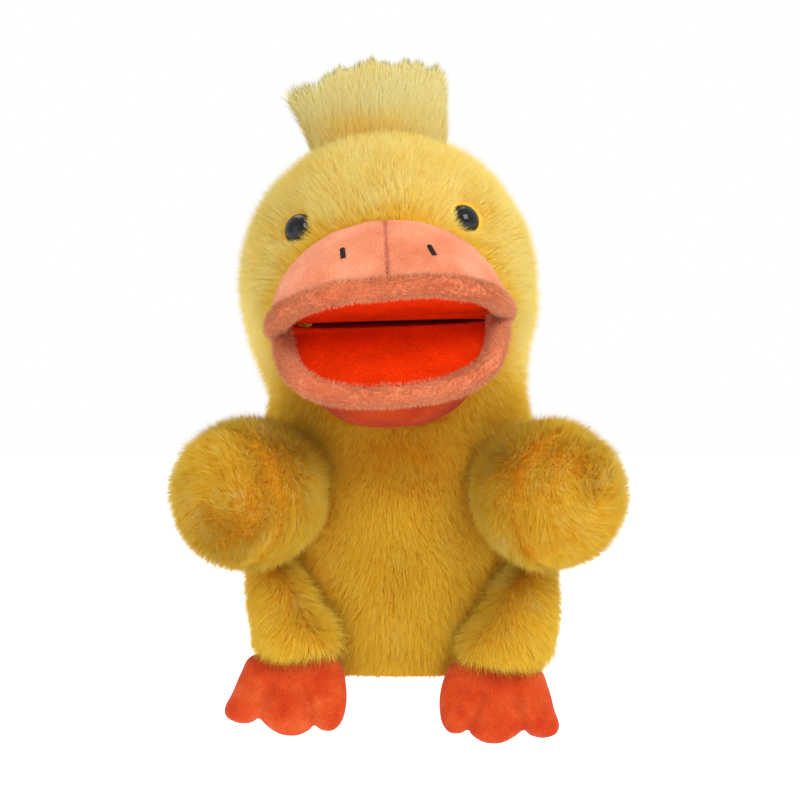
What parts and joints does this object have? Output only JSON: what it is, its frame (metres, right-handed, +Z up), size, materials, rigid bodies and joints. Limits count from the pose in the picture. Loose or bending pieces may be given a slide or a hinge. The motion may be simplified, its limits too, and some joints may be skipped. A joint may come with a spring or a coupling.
{
  "type": "moving mouth puppet",
  "caption": "Plush duck hand puppet: open sleeve body, nodding and turning head, hinged felt-lined mouth in a wide padded bill, stuffed arms, legs and webbed feet, tufted crest.",
  "frame": {"origin": "centre of the hand opening, in the plane of the hem's lower rim", "axes": "+Z up along the sleeve towards the head; the face looks along -Y; +X is to a viewer's right when the puppet faces the viewer"},
  "size_m": [0.19, 0.1523, 0.2934],
  "materials": {
    "body_plush": "long-pile golden yellow plush with darker orange roots",
    "head_plush": "long-pile yellow plush with darker orange roots",
    "crest_plush": "long pale yellow pile, fanned out",
    "beak_cloth": "short-pile salmon velour",
    "lip_cloth": "short plush, pale salmon, brushed",
    "chin_cloth": "short-pile orange velour",
    "foot_cloth": "short-pile orange-red velour",
    "mouth_felt": "smooth orange-red felt",
    "lining_cloth": "plain-weave lining",
    "stuffing": "polyester fibre fill",
    "stiff_board": "flexible plastic sheet",
    "eye_plastic": "polished black dome",
    "washer_plastic": "moulded translucent washer",
    "black_thread": "satin-stitched embroidery thread"
  },
  "bodies": {
    "torso": {"body_front_panel": "body_plush", "body_back_panel": "body_plush", "hem_band": "body_plush", "lining_sleeve": "lining_cloth"},
    "neck": {"neck_ring": "body_plush", "neck_lining": "lining_cloth"},
    "head": {"head_front_panel": "head_plush", "head_back_left_panel": "head_plush", "head_back_right_panel": "head_plush", "head_stuffing": "stuffing", "crest_tuft": "crest_plush", "left_eye": "eye_plastic", "right_eye": "eye_plastic", "left_eye_washer": "washer_plastic", "right_eye_washer": "washer_plastic", "left_nostril_stitch": "black_thread", "right_nostril_stitch": "black_thread", "beak_left_panel": "beak_cloth", "beak_right_panel": "beak_cloth", "beak_stuffing": "stuffing", "finger_pocket": "lining_cloth", "upper_lip": "lip_cloth", "palate_felt": "mouth_felt", "palate_board": "stiff_board"},
    "jaw": {"chin_panel": "chin_cloth", "chin_stuffing": "stuffing", "thumb_pocket": "lining_cloth", "lower_lip": "lip_cloth", "mouth_floor_felt": "mouth_felt", "jaw_board": "stiff_board"},
    "left_arm": {"left_arm_upper_panel": "body_plush", "left_arm_lower_panel": "body_plush", "left_arm_stuffing": "stuffing"},
    "right_arm": {"right_arm_upper_panel": "body_plush", "right_arm_lower_panel": "body_plush", "right_arm_stuffing": "stuffing"},
    "left_leg": {"left_leg_front_panel": "body_plush", "left_leg_back_panel": "body_plush", "left_leg_stuffing": "stuffing"},
    "right_leg": {"right_leg_front_panel": "body_plush", "right_leg_back_panel": "body_plush", "right_leg_stuffing": "stuffing"},
    "left_foot": {"left_foot_front_panel": "foot_cloth", "left_foot_back_panel": "foot_cloth", "left_foot_stuffing": "stuffing"},
    "right_foot": {"right_foot_front_panel": "foot_cloth", "right_foot_back_panel": "foot_cloth", "right_foot_stuffing": "stuffing"}
  },
  "joints": [
    {"name": "neck_turn", "type": "hinge", "parent": "torso", "child": "neck", "pos_m": [0, 0, 0.124], "axis": [0, 0, 1], "range_deg": [-25, 25]},
    {"name": "head_nod", "type": "hinge", "parent": "neck", "child": "head", "pos_m": [0, 0, 0.124], "axis": [-0.9984, 0, -0.0558], "range_deg": [-8, 18]},
    {"name": "jaw_hinge", "type": "hinge", "parent": "head", "child": "jaw", "pos_m": [-0.00156, -0.052, 0.15196], "axis": [0.9984, 0, 0.0558], "range_deg": [-49, 12]},
    {"name": "left_shoulder", "type": "hinge", "parent": "torso", "child": "left_arm", "pos_m": [-0.0485, -0.0285, 0.084], "axis": [-0.7071, 0, -0.7071], "range_deg": [0, 40]},
    {"name": "right_shoulder", "type": "hinge", "parent": "torso", "child": "right_arm", "pos_m": [0.0485, -0.0285, 0.084], "axis": [-0.7071, 0, 0.7071], "range_deg": [0, 40]},
    {"name": "left_hip", "type": "hinge", "parent": "torso", "child": "left_leg", "pos_m": [-0.046, -0.03, 0.042], "axis": [-1, 0, 0], "range_deg": [0, 15]},
    {"name": "right_hip", "type": "hinge", "parent": "torso", "child": "right_leg", "pos_m": [0.046, -0.03, 0.0385], "axis": [-1, 0, 0], "range_deg": [0, 15]},
    {"name": "left_ankle", "type": "hinge", "parent": "left_leg", "child": "left_foot", "pos_m": [-0.046, -0.042, 0.0005], "axis": [-1, 0, 0], "range_deg": [-15, 45], "stiffness_Nm_per_rad": 0.01},
    {"name": "right_ankle", "type": "hinge", "parent": "right_leg", "child": "right_foot", "pos_m": [0.046, -0.042, -0.003], "axis": [-1, 0, 0], "range_deg": [-15, 45], "stiffness_Nm_per_rad": 0.01}
  ]
}
